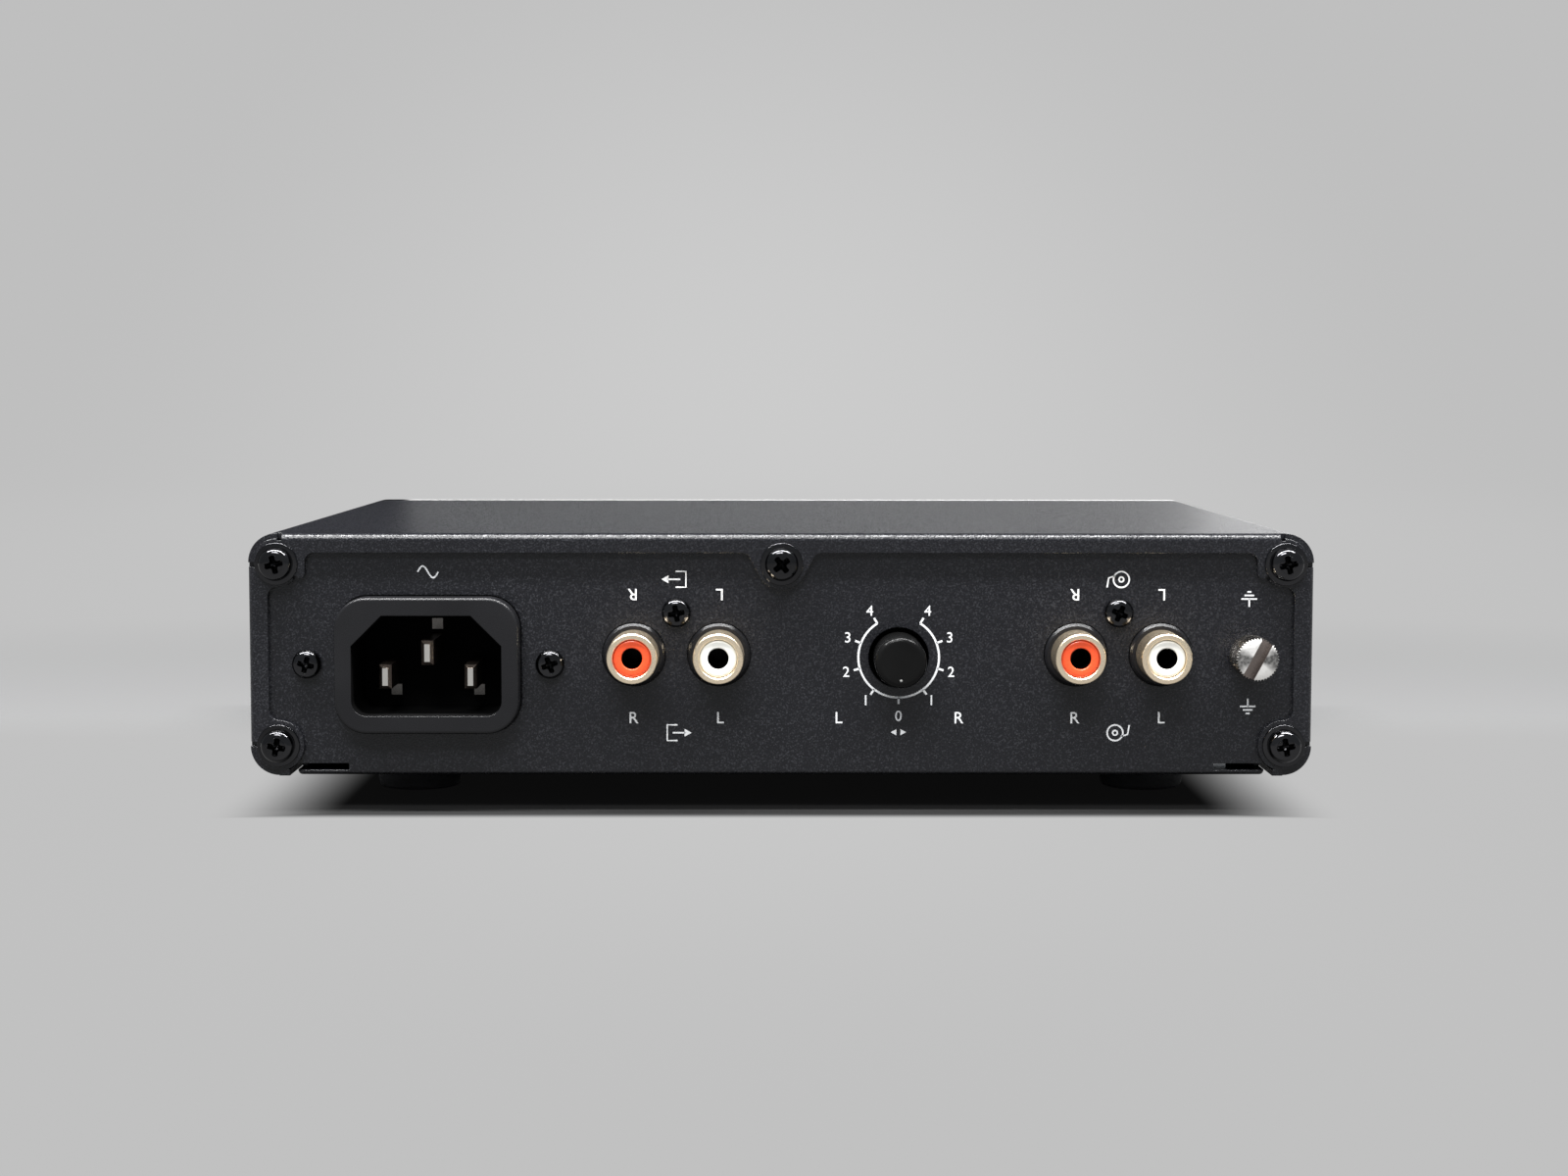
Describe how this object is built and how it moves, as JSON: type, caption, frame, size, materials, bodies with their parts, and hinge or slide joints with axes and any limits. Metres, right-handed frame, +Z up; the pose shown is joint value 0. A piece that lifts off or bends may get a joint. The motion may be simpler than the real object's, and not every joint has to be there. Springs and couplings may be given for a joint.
{
  "type": "phono preamp",
  "caption": "Compact phono preamp in a folded black sheet case, with mains inlet, signal jacks, balance knob and ground screw on the back.",
  "frame": {"origin": "on the resting plane, under the middle of the whole part", "axes": "+Z up, +Y out of the connector panel at the back, -Y out of the front fascia, +X to the user's right seen from the front"},
  "size_m": [0.175, 0.1379, 0.046],
  "materials": {
    "case_paint": "satin",
    "fascia_black": "satin",
    "black_screw": "gloss",
    "zinc": "satin",
    "nickel": "gloss",
    "inlet_plastic": "satin",
    "gold": "gloss",
    "jack_plastic": "satin",
    "insulator_red": "satin",
    "insulator_white": "satin",
    "knob_plastic": "satin",
    "pot_metal": "satin",
    "shaft_metal": "satin",
    "plunger_plastic": "satin",
    "switch_plastic": "matte",
    "clear_plastic": "gloss",
    "rubber": "matte",
    "board": "satin",
    "terminal_green": "satin",
    "wire_black": "satin",
    "wire_green": "satin",
    "glass": "gloss",
    "film_yellow": "satin",
    "ferrite": "matte",
    "copper": "satin",
    "can_sleeve": "satin",
    "regulator_black": "matte",
    "heatsink_black": "satin",
    "sheet_clear": "satin"
  },
  "bodies": {
    "case": {"top_cover": "case_paint", "chassis_tray": "case_paint", "front_fascia": "fascia_black", "cover_screws": "black_screw", "cover_washers": "black_screw", "inlet_screws": "black_screw", "jack_screws": "black_screw", "fascia_screws": "zinc", "foot_screws": "zinc", "board_screws": "zinc", "board_standoffs": "zinc", "cover_nuts": "zinc", "inlet_nuts": "zinc", "ground_nut": "zinc", "ground_lug": "zinc", "inlet_line_pins": "nickel", "inlet_earth_pin": "nickel", "fuse_caps": "nickel", "fuse_clips": "nickel", "inlet_body": "inlet_plastic", "output_jack_shells": "gold", "phono_jack_shells": "gold", "jack_contacts": "gold", "output_jack_block": "jack_plastic", "phono_jack_block": "jack_plastic", "red_jack_insulators": "insulator_red", "white_jack_insulators": "insulator_white", "balance_pot_body": "pot_metal", "power_switch_body": "switch_plastic", "transformer_bobbin": "switch_plastic", "bridge_rectifier": "switch_plastic", "amplifier_circuits": "switch_plastic", "power_light_pipe": "clear_plastic", "power_lamp": "clear_plastic", "rubber_feet": "rubber", "main_board": "board", "mains_terminal_block": "terminal_green", "mains_wires": "wire_black", "earth_wire": "wire_green", "ground_wire": "wire_green", "fuse_tube": "glass", "mains_capacitor": "film_yellow", "film_capacitors": "film_yellow", "choke_core": "ferrite", "transformer_core": "ferrite", "choke_windings": "copper", "transformer_winding": "copper", "bulk_capacitor": "can_sleeve", "supply_capacitors": "can_sleeve", "coupling_capacitors": "can_sleeve", "regulator": "regulator_black", "regulator_heatsink": "heatsink_black", "insulating_sheet": "sheet_clear"},
    "balance": {"balance_knob": "knob_plastic", "balance_shaft": "shaft_metal"},
    "power_button": {"power_button": "knob_plastic", "switch_plunger": "plunger_plastic"},
    "terminal_washer": {"ground_washer": "nickel"},
    "terminal_screw": {"ground_screw": "nickel"}
  },
  "joints": [
    {"name": "balance_turn", "type": "hinge", "parent": "case", "child": "balance", "pos_m": [-0.0193, 0.0601, 0.0255], "axis": [0, 1, 0], "range_deg": [-150, 150]},
    {"name": "power_press", "type": "slide", "parent": "case", "child": "power_button", "axis": [0, 1, 0], "range_m": [0, 0.003], "stiffness_N_per_m": 250, "springref_m": -0.001},
    {"name": "ground_lift", "type": "slide", "parent": "case", "child": "terminal_washer", "axis": [0, 1, 0], "range_m": [0, 0.0021]},
    {"name": "ground_turn", "type": "hinge", "parent": "terminal_washer", "child": "terminal_screw", "pos_m": [-0.077, 0.0601, 0.026], "axis": [0, 1, 0], "range_deg": [0, 1080]}
  ],
  "couplings": [
    {"joint": "ground_turn", "follows": "ground_lift", "rad_per_m": 8976}
  ]
}
